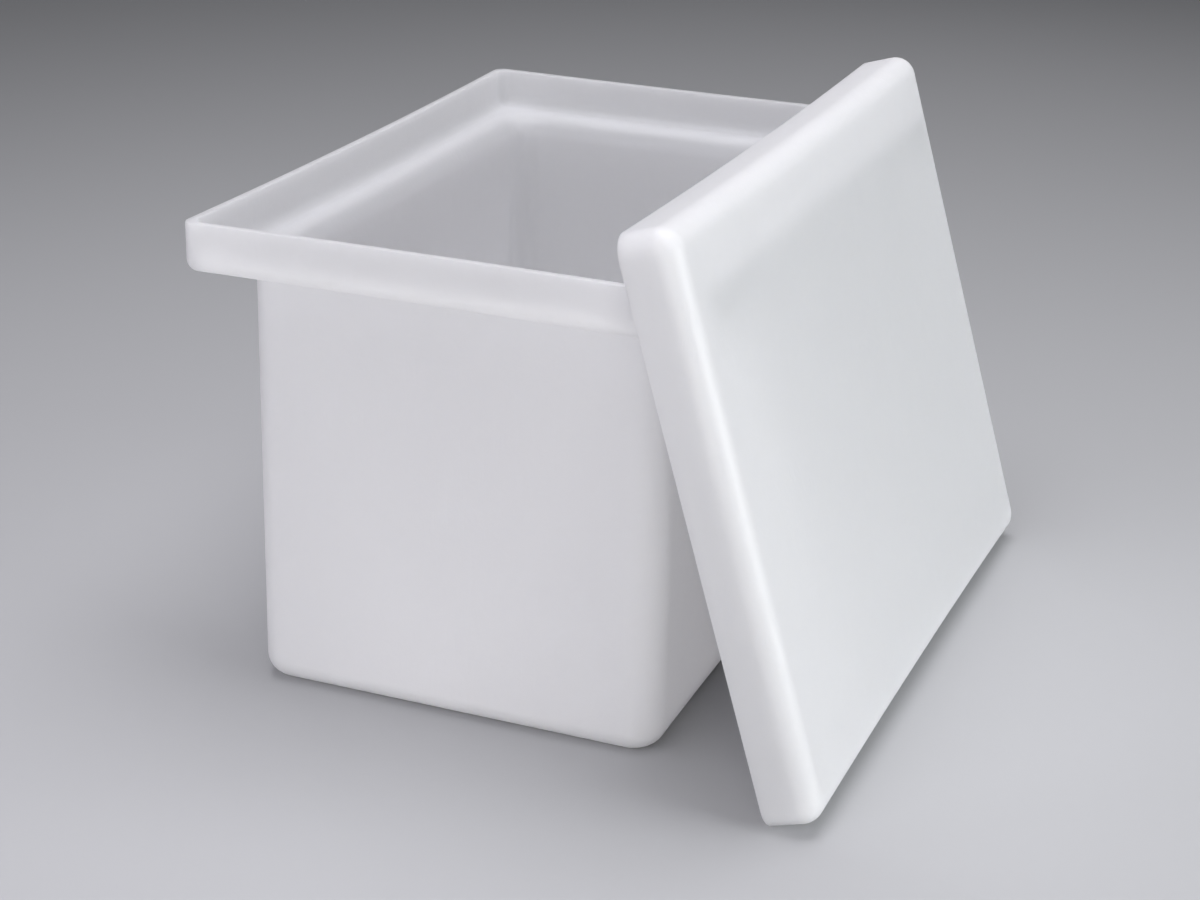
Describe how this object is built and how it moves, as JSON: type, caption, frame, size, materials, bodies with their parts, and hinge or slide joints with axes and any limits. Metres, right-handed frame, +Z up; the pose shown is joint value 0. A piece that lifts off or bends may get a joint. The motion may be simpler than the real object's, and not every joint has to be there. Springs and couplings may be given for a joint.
{
  "type": "rectangular tank with cover",
  "caption": "Open-topped rectangular plastic tank with rounded edges and a stepped, flanged rim, and its loose shallow cover leaning against one long side of the rim.",
  "frame": {"origin": "centre of the underside of the tank's base, where it rests", "axes": "+Z up out of the tank's mouth; +Y along the tank's length; +X across the tank towards the side that the cover leans on"},
  "size_m": [0.4866, 0.5684, 0.4052],
  "materials": {
    "tank": "waxy translucent natural polypropylene, softly satin",
    "cover": "waxy translucent natural polypropylene, softly satin"
  },
  "bodies": {
    "tank": {"tank": "tank"},
    "cover": {"cover": "cover"}
  },
  "joints": [
    {"name": "cover_lift", "type": "slide", "parent": "tank", "child": "cover", "axis": [0, 0, 1], "range_m": [0, 0.4]}
  ]
}
